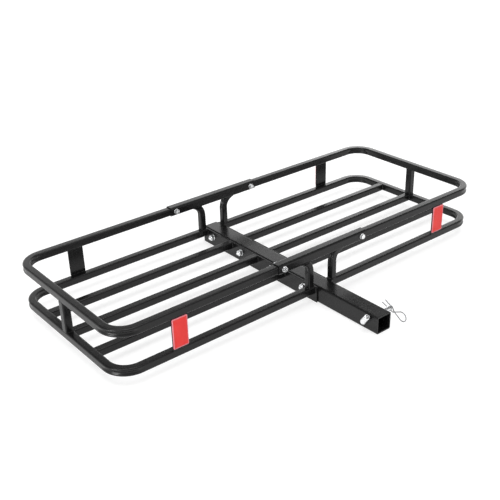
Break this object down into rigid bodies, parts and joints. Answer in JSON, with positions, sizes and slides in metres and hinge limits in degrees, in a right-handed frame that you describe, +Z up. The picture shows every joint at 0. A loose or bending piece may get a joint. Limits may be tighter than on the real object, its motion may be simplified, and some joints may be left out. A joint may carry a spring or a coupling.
{
  "type": "hitch cargo carrier",
  "caption": "Basket cargo carrier on a square receiver shank: two tube half baskets bolted either side of the shank, sleeved upper rails, red reflectors, hitch pin and clip.",
  "frame": {"origin": "centre of the hitch-pin hole, on the shank's centreline", "axes": "-Y points into the vehicle's receiver and +Y away from the vehicle, +X along the basket's length to the side with the clip, +Z up"},
  "size_m": [1.328, 0.772, 0.1617],
  "materials": {
    "powder_black": "satin black powder coat",
    "zinc": "bright zinc plate",
    "pin_zinc": "bright zinc plate",
    "spring_steel": "zinc-plated spring wire",
    "reflector_red": "gloss, prismatic"
  },
  "bodies": {
    "carrier": {"shank_tube": "powder_black", "left_side_plate": "powder_black", "left_lower_rail": "powder_black", "left_upper_rail": "powder_black", "left_end_post": "powder_black", "left_front_slat": "powder_black", "left_middle_slat": "powder_black", "left_rear_slat": "powder_black", "left_front_support": "powder_black", "left_front_reflector_plate": "powder_black", "left_front_reflector": "reflector_red", "left_rear_support": "powder_black", "left_rear_reflector_plate": "powder_black", "left_rear_reflector": "reflector_red", "right_side_plate": "powder_black", "right_lower_rail": "powder_black", "right_upper_rail": "powder_black", "right_end_post": "powder_black", "right_front_slat": "powder_black", "right_middle_slat": "powder_black", "right_rear_slat": "powder_black", "right_front_support": "powder_black", "right_front_reflector_plate": "powder_black", "right_front_reflector": "reflector_red", "right_rear_support": "powder_black", "right_rear_reflector_plate": "powder_black", "right_rear_reflector": "reflector_red", "front_rail_sleeve": "powder_black", "rear_rail_sleeve": "powder_black", "beam_bolts": "zinc", "beam_nuts": "zinc", "beam_washers": "zinc", "sleeve_bolts": "zinc", "sleeve_nuts": "zinc", "sleeve_washers": "zinc"},
    "hitch_pin": {"hitch_pin": "pin_zinc"},
    "pin_clip": {"pin_clip": "spring_steel"}
  },
  "joints": [
    {"name": "hitch_pin_slide", "type": "slide", "parent": "carrier", "child": "hitch_pin", "axis": [-1, 0, 0], "range_m": [-0.002, 0.037]},
    {"name": "pin_clip_slide", "type": "slide", "parent": "hitch_pin", "child": "pin_clip", "axis": [0, -0.9336, -0.3584], "range_m": [0, 0.04]}
  ]
}
